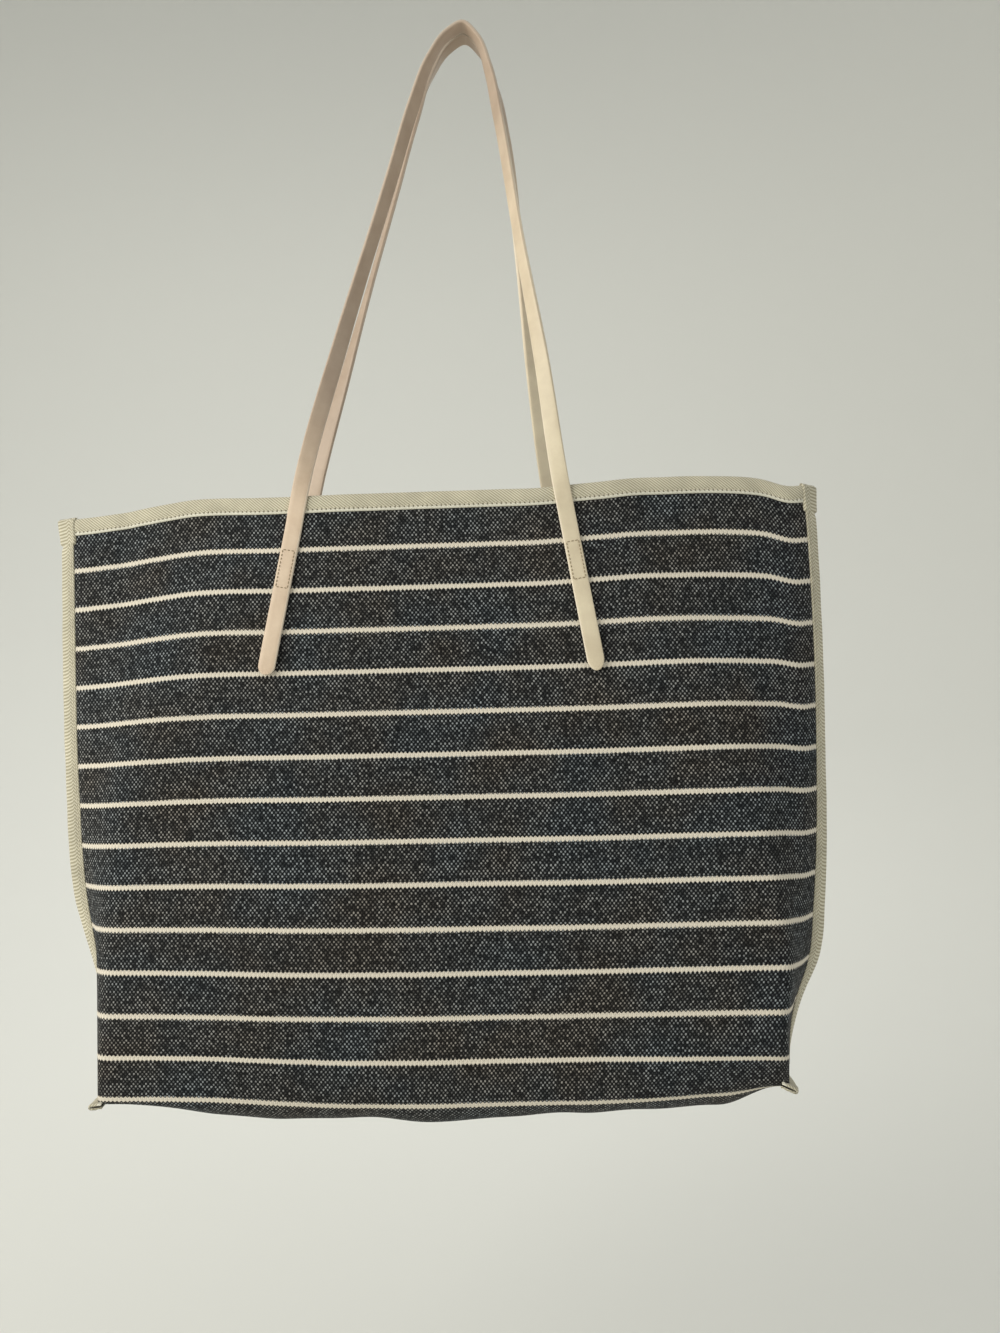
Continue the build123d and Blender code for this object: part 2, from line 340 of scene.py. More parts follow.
def makeCanvas():
    inner = np.linspace(-halfBase, halfBase, int(round(2 * halfBase / bag["gridStep"])) + 1)
    corner = np.linspace(halfBase, halfWidth, 9)[1:]
    allowance = halfWidth + np.array([0.5, 1.0]) * bag["seamAllowance"]
    outer = np.concatenate([corner, allowance])
    columns = np.concatenate([-outer[::-1], inner, outer])
    first = len(outer)
    rows = np.linspace(0, panelHeight, int(round(panelHeight / bag["gridStep"])) + 1)
    panels = {"front": panelGrid(columns, rows, 3.1)}
    panels["back"] = panelGrid(columns, rows, 11.7) * np.array([1, -1, 1])
    for side in (-1, 1):
        seam = np.argmin(np.abs(columns - side * halfWidth))
        for c in [seam] + list(np.where(columns * side > halfWidth + 1e-9)[0]):
            # both layers of the allowance lie together, on the same side of the seam
            panels["back"][:, c] = panels["front"][:, c] * (1, 1, 1)
            if c != seam:
                for r, v in enumerate(rows):
                    sideways = np.array(flangeFrame(side, v / panelHeight)[1])
                    panels["back"][r, c] += sideways * 2 * bag["layerGap"]
            else:
                panels["front"][:, c, 1] = -bag["layerGap"]
                panels["back"][:, c, 1] = bag["layerGap"]
    baseRows = bag["baseRows"]
    last = len(rows) - 1
    points, faces, uvs, ids = [], [], [], {}

    def put(key, p):
        ids[key] = len(points)
        points.append(p)

    for name in ("front", "back"):
        for r in range(len(rows)):
            for c in range(len(columns)):
                put((name, r, c), panels[name][r, c])
    for c in range(first, first + len(inner)):
        a, b = panels["front"][last, c], panels["back"][last, c]
        chord = np.linalg.norm(b - a)
        sag = math.sqrt(max(0.1875 * (bag["baseDepth"] ** 2 - chord ** 2), 0))
        nearEnd = smoothStep((abs(columns[c]) - halfBase + 45 * mm) / (45 * mm))
        sag *= (1 - 0.75 * nearEnd) * through(baseSag, columns[c] / mm)
        sag += 1.6 * mm * uneven(columns[c] / 0.035, 5, 1) * (1 - nearEnd)
        for k in range(1, baseRows):
            t = k / baseRows
            p = a + (b - a) * t
            arch = 1 - (2 * t - 1) ** 2
            p[2] -= sag * arch
            p[0] += math.copysign(bag["baseBulge"] * arch * nearEnd ** 2, columns[c])
            put(("base", k, c), p)
        ids[("base", 0, c)] = ids[("front", last, c)]
        ids[("base", baseRows, c)] = ids[("back", last, c)]
    for name in ("front", "back"):
        for r in range(last):
            for c in range(len(columns) - 1):
                cell = [(r, c), (r + 1, c), (r + 1, c + 1), (r, c + 1)]
                if name == "back":
                    cell.reverse()
                faces.append([ids[(name, i, j)] for i, j in cell])
                for i, j in cell:
                    down = clothDown(columns[j], rows[i]) if name == "front" else clothLength - rows[i]
                    uvs.append((columns[j] - columns[0], down))
    for k in range(baseRows):
        for c in range(first, first + len(inner) - 1):
            cell = [(k, c), (k + 1, c), (k + 1, c + 1), (k, c + 1)]
            faces.append([ids[("base", i, j)] for i, j in cell])
            for i, j in cell:
                down = panelHeight + bag["baseDepth"] * i / baseRows - tuck(columns[j]) * (1 - i / baseRows)
                uvs.append((columns[j] - columns[0], down))
    canvas = meshPiece("canvasBody", points, faces, uvs)
    outline = {"columns": columns, "rows": rows}
    outline.update(panels)
    outline["baseEnd"] = {-1: [points[ids[("base", k, first)]] for k in range(baseRows + 1)],
                          1: [points[ids[("base", k, first + len(inner) - 1)]] for k in range(baseRows + 1)]}
    return canvas, outline


def finishCanvas(canvas):
    rounding = canvas.modifiers.new("softFolds", "SMOOTH")
    rounding.factor = 0.5
    rounding.iterations = 2
    rounding.vertex_group = softFoldGroup(canvas)
    subdivision = canvas.modifiers.new("roundCloth", "SUBSURF")
    subdivision.levels = 2
    subdivision.render_levels = 2
    subdivision.boundary_smooth = "PRESERVE_CORNERS"
    return applyModifiers(canvas)


def softFoldGroup(canvas):
    # the folds at the bottom of each panel are eased, the seams are left alone
    group = canvas.vertex_groups.new(name="softFolds")
    low = topZ - panelHeight
    for vertex in canvas.data.vertices:
        inside = abs(vertex.co.x) < halfBase - 2 * mm
        if inside and vertex.co.z < low + 30 * mm:
            group.add([vertex.index], 1.0, "REPLACE")
    return group.name


def thickenCanvas(canvas):
    shell = canvas.modifiers.new("clothThickness", "SOLIDIFY")
    shell.thickness = bag["clothThickness"]
    shell.offset = 0
    return applyModifiers(canvas)


tape = {
    "width": 25 * mm,              # flat width before it is folded over the raw edge
    "thickness": 0.8 * mm,
    "cover": 12.2 * mm,
    "stitchInset": 2.6 * mm,
    "stitchPitch": 3.4 * mm,
    "stitchShare": 0.7,            # how much of the pitch shows as thread
    "threadRadius": 0.34 * mm,
    "capHeight": 19 * mm,
    "capOverhang": 2.4 * mm,       # how far the cap stands above the top edge
    "capFlare": {-1: 2.6 * mm, 1: 1.4 * mm},
    "nubReach": {-1: 9.6 * mm, 1: 12.2 * mm},      # how far the corner tapes stand out, left and right
    "nubTilt": {-1: 8, 1: 24},     # and how many degrees they droop
}


def sweep(name, rings, across, along):
    # rings of points, with the distances across the strip and along it in metres
    count = len(rings[0])
    points = [p for ring in rings for p in ring]
    faces, uvs = ringFaces(0, len(rings), count), []
    for r in range(len(rings) - 1):
        for c in range(count):
            uvs += [(across[c], along[r]), (across[c + 1], along[r]),
                    (across[c + 1], along[r + 1]), (across[c], along[r + 1])]
    end = (len(rings) - 1) * count
    faces.append(list(range(count))[::-1])
    uvs += [(across[c], along[0]) for c in range(count)][::-1]
    faces.append([end + c for c in range(count)])
    uvs += [(across[c], along[-1]) for c in range(count)]
    return meshPiece(name, points, faces, uvs, closed=True)


def outlineLengths(outline):
    closed = list(outline) + [outline[0]]
    lengths = [0.0]
    for a, b in zip(closed, closed[1:]):
        lengths.append(lengths[-1] + math.dist(a, b))
    return lengths


def edgeFrames(outline, sign):
    # places along one panel's top edge, each with the direction down the cloth
    grid = outline["front" if sign < 0 else "back"]
    keep = np.abs(outline["columns"]) <= halfWidth + 1e-9
    across = outline["columns"][keep]
    top, below = grid[0, keep], grid[2, keep]
    frames = []
    for s in np.arange(-halfWidth + 0.6 * mm, halfWidth - 0.6 * mm, 1 * mm):
        high, low = along3(across, top, s), along3(across, below, s)
        frames.append((high, (low - high).normalized()))
    return frames


def makeBinding(name, sign, frames):
    # tape folded over the top edge, in the shape of a narrow U
    thick, cover = tape["thickness"], tape["cover"]
    half = bag["clothThickness"] / 2 + 0.12 * mm
    rings, along = [], []
    travelled = 0.0
    for index, (edge, down) in enumerate(frames):
        run = (frames[min(index + 3, len(frames) - 1)][0] - frames[max(index - 3, 0)][0]).normalized()
        out = run.cross(down).normalized()
        if out.y * sign < 0:
            out = -out
        if index:
            travelled += (edge - frames[index - 1][0]).length
        stitch = math.cos(2 * math.pi * travelled / tape["stitchPitch"])
        pucker = 0.16 * mm * uneven(travelled / 0.009, sign, 0)
        pinch = (0.3 + 0.12 * stitch) * mm
        wave = 0.5 * mm * uneven(travelled / 0.03, 4 + sign, 0)
        depths = [cover + wave, cover - 0.5 * mm + wave, cover - 1.5 * mm, cover - tape["stitchInset"],
                  cover - 3.9 * mm, cover - 6 * mm, cover - 9 * mm, 1.2 * mm, 0.1 * mm]
        lifts = [0.25 * mm, thick * 0.9, thick + 0.2 * mm + pucker, thick - pinch, thick + 0.22 * mm + pucker,
                 thick + 0.35 * mm, thick + 0.3 * mm, thick + 0.1 * mm, thick * 0.6]
        outside = [(depth, half + lift) for depth, lift in zip(depths, lifts)]
        crest = [(-0.85 * mm, half * 0.6), (-0.85 * mm, -half * 0.6)]
        inside = [(depth, -half - lift) for depth, lift in zip(reversed(depths), reversed(lifts))]
        lining = [(cover, -half), (cover * 0.5, -half), (0.1 * mm, -half * 0.9), (0.1 * mm, half * 0.9),
                  (cover * 0.5, half), (cover, half)]
        section = outside + crest + inside + lining
        rings.append([edge + down * a + out * b for a, b in section])
        along.append(travelled)
    return sweep(name, rings, outlineLengths(section), along), travelled


def stitchRow(name, spots, radius):
    # spots: list of (point, direction out); every other stretch shows as one stitch
    points, faces, uvs = [], [], []
    sides, steps = 6, 4
    for (a, outA), (b, outB) in spots:
        run = b - a
        length = run.length
        if length < 1e-6:
            continue
        run.normalize()
        out = (outA + outB).normalized()
        wide = run.cross(out).normalized()
        start = len(points)
        for i in range(steps + 1):
            t = i / steps
            swell = math.sin(math.pi * (0.12 + 0.76 * t)) ** 0.6
            centre = a + (b - a) * t + out * radius * (0.15 + 0.75 * math.sin(math.pi * t))
            for k in range(sides):
                angle = 2 * math.pi * k / sides
                points.append(centre + (wide * math.cos(angle) + out * math.sin(angle)) * radius * swell)
        faces += ringFaces(start, steps + 1, sides)
        for i in range(steps):
            for k in range(sides):
                u = k / sides * 2 * math.pi * radius
                w = (k + 1) / sides * 2 * math.pi * radius
                v0, v1 = i / steps * length, (i + 1) / steps * length
                uvs += [(u, v0), (w, v0), (w, v1), (u, v1)]
        faces.append([start + k for k in range(sides)][::-1])
        uvs += [(0, 0)] * sides
        faces.append([start + steps * sides + k for k in range(sides)])
        uvs += [(0, 0)] * sides
    return meshPiece(name, points, faces, uvs)


def bindingStitches(name, sign, frames):
    # a running stitch on both faces of the binding, near its lower edge
    depth = tape["cover"] - tape["stitchInset"]
    rise = bag["clothThickness"] / 2 + tape["thickness"] - 0.1 * mm
    places = [0.0]
    for (a, _), (b, _) in zip(frames, frames[1:]):
        places.append(places[-1] + (b - a).length)
    line = np.array([tuple(high + down * depth) for high, down in frames])
    spots = []
    for start in np.arange(6 * mm, places[-1] - 8 * mm, tape["stitchPitch"]):
        stop = start + tape["stitchPitch"] * tape["stitchShare"]
        ends = [along3(places, line, spot) for spot in (start, stop)]
        for face in (1, -1):
            out = Vector((0, sign * face, 0))
            spots.append(tuple((end + out * rise, out) for end in ends))
    return stitchRow(name, spots, tape["threadRadius"])


def seamTable(outline, side):
    # the side seam from the top down: distances along it and places on it
    column = np.argmin(np.abs(outline["columns"] - side * halfWidth))
    table = outline["front"][:, column] * (1, 0, 1)
    return runLengths(table), table


def makeSideTape(name, side, outline):
    # tape folded over the raw edge of the side seam, with its top end turned under into a thick cap
    lengths, table = seamTable(outline, side)
    total = lengths[-1]
    cap, overhang = tape["capHeight"], tape["capOverhang"]
    core, thick = bag["clothThickness"] + 0.15 * mm, tape["thickness"]
    rings, along = [], []
    for place in np.arange(-overhang, total - 4 * mm, 0.9 * mm):
        p = along3(lengths, table, max(place, 0.0))
        p.z -= min(place, 0.0)
        t = float(np.clip(place / total, 0, 1))
        out, across = flangeFrame(side, t)
        stitch = math.cos(2 * math.pi * place / tape["stitchPitch"])
        puff = 0.18 * mm * uneven(place / 0.012, side, 3)
        inCap = 1 - float(smoothStep((place - cap + 1 * mm) / (1.4 * mm)))
        close = 0.25 + 0.75 * float(smoothStep((place + overhang) / (2.2 * mm)))
        high = float(smoothStep((cap - place) / cap))
        narrow = 1 - 0.75 * float(smoothStep((t - 0.93) / 0.07))
        far = (bag["seamAllowance"] + 1.2 * mm) * narrow + 0.7 * mm * inCap
        far += 0.35 * mm * uneven(place / 0.02, side, 9)
        far -= 1.3 * mm * math.exp(-((place - cap - 1.2 * mm) / (1.3 * mm)) ** 2)
        far += tape["capFlare"][side] * inCap * high
        grow = thick * inCap
        lobe = 0.55 * mm * inCap
        groove = (0.42 + 0.1 * stitch) * mm * (1 - inCap)
        near = (0.1 - 2.4 * inCap) * mm
        inset = tape["stitchInset"]
        width = far - near
        face = [
            (near, core + thick * 0.4 + grow * 0.3),
            (near + 0.4 * mm, core + thick * 0.95 + grow),
            (near + inset * 0.55, core + thick + 0.2 * mm + puff + grow + lobe * 0.6),
            (near + inset, core + thick - groove + grow - lobe * 0.1),
            (near + inset * 1.5, core + thick + 0.2 * mm + puff + grow + lobe * 0.3),
            (near + width * 0.5, core + thick + 0.3 * mm + grow - lobe * 1.3),
            (near + width * 0.72, core + thick + 0.25 * mm + grow + lobe * 0.4),
            (far - 1.0 * mm, core + thick + 0.05 * mm + grow + lobe * 0.2),
            (far - 0.25 * mm, (core + thick) * 0.72 + grow * 0.6),
        ]
        lining = [(near, core * 0.9), (far * 0.6, core * 0.95), (far - 1.2 * mm, core * 0.6)]
        section = [(a, b * close) for a, b in face] + [(a, -b * close) for a, b in reversed(face)]
        section += [(a, -b * close * 0.8) for a, b in lining]
        section += [(a, b * close * 0.8) for a, b in reversed(lining)]
        rings.append([p + out * a + across * b for a, b in section])
        along.append(place + overhang)
    return sweep(name, rings, outlineLengths(section), along), total


def sideStitches(name, side, outline):
    lengths, table = seamTable(outline, side)
    total = lengths[-1]
    rise = bag["clothThickness"] + tape["thickness"] - 0.1 * mm
    spots = []
    for start in np.arange(tape["capHeight"] + 1.6 * mm, total * 0.93, tape["stitchPitch"]):
        for way in (1, -1):
            ends = []
            for place in (start, start + tape["stitchPitch"] * tape["stitchShare"]):
                out, across = flangeFrame(side, place / total)
                p = along3(lengths, table, place) + out * tape["stitchInset"]
                ends.append((p + across * way * rise, across * way))
            spots.append(tuple(ends))
    return stitchRow(name, spots, tape["threadRadius"])


def makeCornerTape(name, side, outline):
    # tape over the short seam that boxes the corner, its front and back ends standing out as small nubs
    edge = np.array(outline["baseEnd"][side])
    steps = runLengths(edge)
    span = steps[-1]
    over = 2.6 * mm
    core, thick = 1.5 * mm, tape["thickness"]
    rings, along = [], []
    for place in np.arange(-over, span + over + 0.5 * mm, 1.2 * mm):
        p = along3(steps, edge, min(max(place, 0), span))
        p.y += min(place, 0) + max(place - span, 0)
        nearEnd = min(place + over, span + over - place)
        close = 0.45 + 0.55 * float(smoothStep(nearEnd / (1.6 * mm)))
        tilt = math.radians(tape["nubTilt"][side] + 12 * uneven(place / 0.03, side * 3, 1))
        out = Vector((side * math.cos(tilt), 0, -math.sin(tilt)))
        up = Vector((side * math.sin(tilt), 0, math.cos(tilt)))
        p = p - out * 2.4 * mm
        far = tape["nubReach"][side] + 0.6 * mm * uneven(place / 0.012, side, 2)
        bulk = (core + thick + 0.25 * mm * uneven(place / 0.007, side, 6)) * close
        face = [(0, bulk * 0.6), (0.8 * mm, bulk), (2.6 * mm, bulk * 0.85), (4.4 * mm, bulk * 1.08),
                (far - 1.5 * mm, bulk), (far - 0.4 * mm, bulk * 0.7)]
        lining = [(0, core * 0.8), (far * 0.6, core * 0.8), (far - 1.4 * mm, core * 0.5)]
        section = face + [(a, -b) for a, b in reversed(face)]
        section += [(a, -b * close) for a, b in lining] + [(a, b * close) for a, b in reversed(lining)]
        rings.append([p + out * a + up * b for a, b in section])
        along.append(place + over)
    return sweep(name, rings, outlineLengths(section), along), span + 2 * over


strap = {
    "width": 12.4 * mm,
    "thickness": 2.9 * mm,
    "bevel": 0.75 * mm,
    # where each end crosses the top edge and where its tip lies, in mm: (left or right, front or back)
    "feet": {(-1, -1): -95.5, (1, -1): 98, (-1, 1): -102, (1, 1): 91},
    "tips": {(-1, -1): -120, (1, -1): 120, (-1, 1): -124, (1, 1): 114},
    "tailDrop": {-1: 131.5 * mm, 1: 134.5 * mm},
    "tipLength": {-1: 6.5 * mm, 1: 9.5 * mm},      # the right ends are cut a little more pointed
    "boxWidth": 8.8 * mm,
    "boxHeight": 28 * mm,
    "boxBelowTop": 54 * mm,
    "stitchPitch": 2.9 * mm,
    "threadRadius": 0.36 * mm,
    "hookY": 6.8 * mm,             # the two handles lie side by side on the hook
}
# the hanging loop, left foot to right foot: x and height in mm
loopLine = [(-64, 580), (-26, 708), (-8, 770), (5.5, 808), (18, 827), (31, 834), (42, 822), (50, 797),
            (57, 757), (71, 655), (85, 563)]
loopTop = loopLine[5]
# how far the back loop strays from the front one, height against sideways shift in mm
backStray = {-1: [(461, -5), (540, -4), (640, -3), (760, -1.5), (834, 0)],
             1: [(461, -7), (540, -7), (600, -4.5), (660, 0), (740, 4), (800, 3), (834, 0)]}


def surfacePoint(finder, x, z, sign):
    return finder.ray_cast(Vector((x, sign * 0.2, z)), Vector((0, -sign, 0)))[0]


def tailPoint(finder, side, sign, z):
    # a place on the middle of the sewn end, just off the cloth or the binding
    share = (topZ - z) / strap["tailDrop"][side]
    foot, tip = strap["feet"][side, sign], strap["tips"][side, sign]
    x = (foot + (tip - foot) * share) * mm
    y = surfacePoint(finder, x, min(z, topZ - 3 * mm), sign).y
    overTape = 1 - float(smoothStep((topZ - tape["cover"] - z) / (7 * mm)))
    loose = 1.3 * mm * float(smoothStep((share - 0.55) / 0.45))
    return Vector((x, y + sign * (0.6 * mm + 0.75 * mm * overTape + loose + strap["thickness"] / 2), z))


def handleLine(finder, sign):
    # the middle of the strip from tip to tip, with the places where it leaves the bag
    tails = []
    for side in (-1, 1):
        heights = np.linspace(topZ - strap["tailDrop"][side], topZ + 1 * mm, 28)
        tails.append([tuple(tailPoint(finder, side, sign, z)) for z in heights])
    foot = abs(tails[0][-1][1])
    loop = []
    for x, z in loopLine:
        share = (z * mm - topZ) / (loopTop[1] * mm - topZ)
        if sign > 0:
            x += through(backStray[-1 if x < loopTop[0] else 1], z)
        loop.append((x * mm, sign * (foot + (strap["hookY"] - foot) * share), z * mm))
    knots = np.array([tails[0][-6]] + [tails[0][-1]] + loop + [tails[1][-1]] + [tails[1][-6]])
    spans = runLengths(knots)
    fine = np.linspace(spans[1], spans[-2], 260)
    smooth = np.array([[through(list(zip(spans, knots[:, k])), t) for k in range(3)] for t in fine])
    line = np.concatenate([tails[0][:-1], smooth, tails[1][-2::-1]])
    distance = runLengths(line)
    tail = distance[len(tails[0]) - 1]
    return line, distance, tail


def strapProfile(half, thick, bevel):
    corner = [(half, thick - bevel), (half - bevel * 0.3, thick - bevel * 0.3), (half - bevel, thick)]
    crown = [(half * 0.4, thick + 0.06 * mm), (-half * 0.4, thick + 0.06 * mm)]
    upper = corner + crown + [(-x, z) for x, z in reversed(corner)]
    return upper + [(-x, -z) for x, z in upper]


def makeHandle(canvas, name, sign):
    finder = BVHTree.FromObject(canvas, bpy.context.evaluated_depsgraph_get())
    line, distance, tail = handleLine(finder, sign)
    total = distance[-1]
    half, thick = strap["width"] / 2, strap["thickness"] / 2
    leftTip, rightTip = strap["tipLength"][-1], strap["tipLength"][1]
    tipShares = (0, 0.02, 0.06, 0.13, 0.23, 0.36, 0.52, 0.7, 0.88)
    marks = [leftTip * share for share in tipShares] + [total - rightTip * share for share in tipShares]
    marks += [d for d in distance if leftTip < d < total - rightTip]
    out = Vector((0, sign, 0))
    rings, along = [], []
    for mark in sorted(marks):
        p = along3(distance, line, mark)
        ahead, behind = min(mark + 2.5 * mm, total), max(mark - 2.5 * mm, 0)
        run = along3(distance, line, ahead) - along3(distance, line, behind)
        side = -1 if mark < total / 2 else 1
        up = run.normalized() * -side
        share = 1 - abs(mark - total / 2) / (total / 2 - tail)
        # the strip lies flat on the bag and is edge-on at the hook
        turn = 14 * smoothStep((share + 0.02) / 0.1) + 48 * smoothStep(share / 0.55)
        turn += 28 * smoothStep((share - 0.8) / 0.2)
        turn = math.radians(float(turn))
        across = Vector((up.z, 0, -up.x)).normalized()
        face = out * math.cos(turn) - across * side * math.sin(turn)
        face = (face - up * face.dot(up)).normalized()
        width = (across * math.cos(turn) + out * side * math.sin(turn)) * -side
        width = (width - up * width.dot(up)).normalized()
        fromTip = min(min(mark, total - mark) / strap["tipLength"][side], 1)
        narrow = math.sqrt(1 - (1 - fromTip) ** 2) * 0.985 + 0.015
        section = strapProfile(half * narrow, thick, min(strap["bevel"], half * narrow * 0.45))
        rings.append([p + width * a + face * b for a, b in section])
        along.append(mark)
    lengths = outlineLengths(strapProfile(half, thick, strap["bevel"]))
    return sweep(name, rings, lengths, along)


def boxStitches(canvas, name, sign):
    # the small sewn rectangle on each handle end
    finder = BVHTree.FromObject(canvas, bpy.context.evaluated_depsgraph_get())
    spots = []
    w, h = strap["boxWidth"] / 2, strap["boxHeight"] / 2
    corners = [(-w, -h), (w, -h), (w, h), (-w, h), (-w, -h)]
    for side in (-1, 1):
        middle, above, below = [tailPoint(finder, side, sign, topZ - strap["boxBelowTop"] + step * 12 * mm)
                                for step in (0, 1, -1)]
        up = (above - below).normalized()
        right = up.cross(Vector((0, sign, 0))).normalized()
        out = right.cross(up).normalized()
        for (ax, az), (bx, bz) in zip(corners, corners[1:]):
            count = max(2, round(math.dist((ax, az), (bx, bz)) / strap["stitchPitch"]))
            for i in range(count):
                ends = []
                for t in ((i + 0.14) / count, (i + 0.86) / count):
                    place = middle + right * (ax + (bx - ax) * t) + up * (az + (bz - az) * t)
                    ends.append((place + out * (strap["thickness"] / 2 - 0.12 * mm), out))
                spots.append(tuple(ends))
    return stitchRow(name, spots, strap["threadRadius"])


def linear(hexColour):
    channels = [int(hexColour[i:i + 2], 16) / 255 for i in (1, 3, 5)]
    return tuple(c / 12.92 if c <= 0.04045 else ((c + 0.055) / 1.055) ** 2.4 for c in channels) + (1.0,)


def startMaterial(name):
    material = bpy.data.materials.new(name)
    material.use_nodes = True
    material.node_tree.nodes.clear()
    return material, material.node_tree


def startSurface(name):
    # a material laid out in the flat piece's own metres: the place, then its distances across and along
    material, tree = startMaterial(name)
    place = add(tree, "UVMap", {"uv_map": "clothMetres"})
    return material, tree, place, add(tree, "SeparateXYZ", {}, {0: place})


def slantingWave(tree, across, along, slope, pitch):
    # even slanting lines, from 0 between them to 1 on them
    slant = add(tree, "Math:MULTIPLY_ADD", {1: slope}, {0: across, 2: along})
    phase = add(tree, "Math:MULTIPLY", {1: 2 * math.pi / pitch}, {0: slant})
    wave = add(tree, "Math:SINE", {}, {0: phase})
    return add(tree, "MapRange", span(-1.0, 1.0), {"Value": wave})


def finishSurface(tree, colour, height, strength, depth, settings, links=None):
    # the relief, the shader and the output that every cloth, leather and thread ends in
    bump = add(tree, "Bump", {"Strength": strength, "Distance": depth}, {"Height": height})
    shader = add(tree, "BsdfPrincipled", {"IOR": 1.5, "Metallic": 0.0, **settings},
                 {"Base Color": colour, "Normal": bump, **(links or {})})
    add(tree, "OutputMaterial", {}, {"Surface": shader})


def span(fromLow, fromHigh, toLow=0.0, toHigh=1.0):
    # the settings that carry one range of values over to another
    return {"From Min": fromLow, "From Max": fromHigh, "To Min": toLow, "To Max": toHigh}


def add(tree, kind, settings=None, links=None):
    # one node, such as "Math:ADD" or "Mix:RGBA", with its settings and what feeds it
    # a whole number is an input's place, and a node given as a link stands for its own result
    kind, _, mode = kind.partition(":")
    node = tree.nodes.new("ShaderNode" + kind)
    if mode:
        setattr(node, "data_type" if kind == "Mix" else "operation", mode)
    for key, value in (settings or {}).items():
        if isinstance(key, str) and hasattr(node, key):
            setattr(node, key, value)
        else:
            isColour = isinstance(value, str) and value.startswith("#")
            node.inputs[key].default_value = linear(value) if isColour else value
    for key, source in (links or {}).items():
        if isinstance(source, bpy.types.Node):
            source = next(output for output in source.outputs if output.enabled)
        tree.links.new(source, node.inputs[key])
    return node


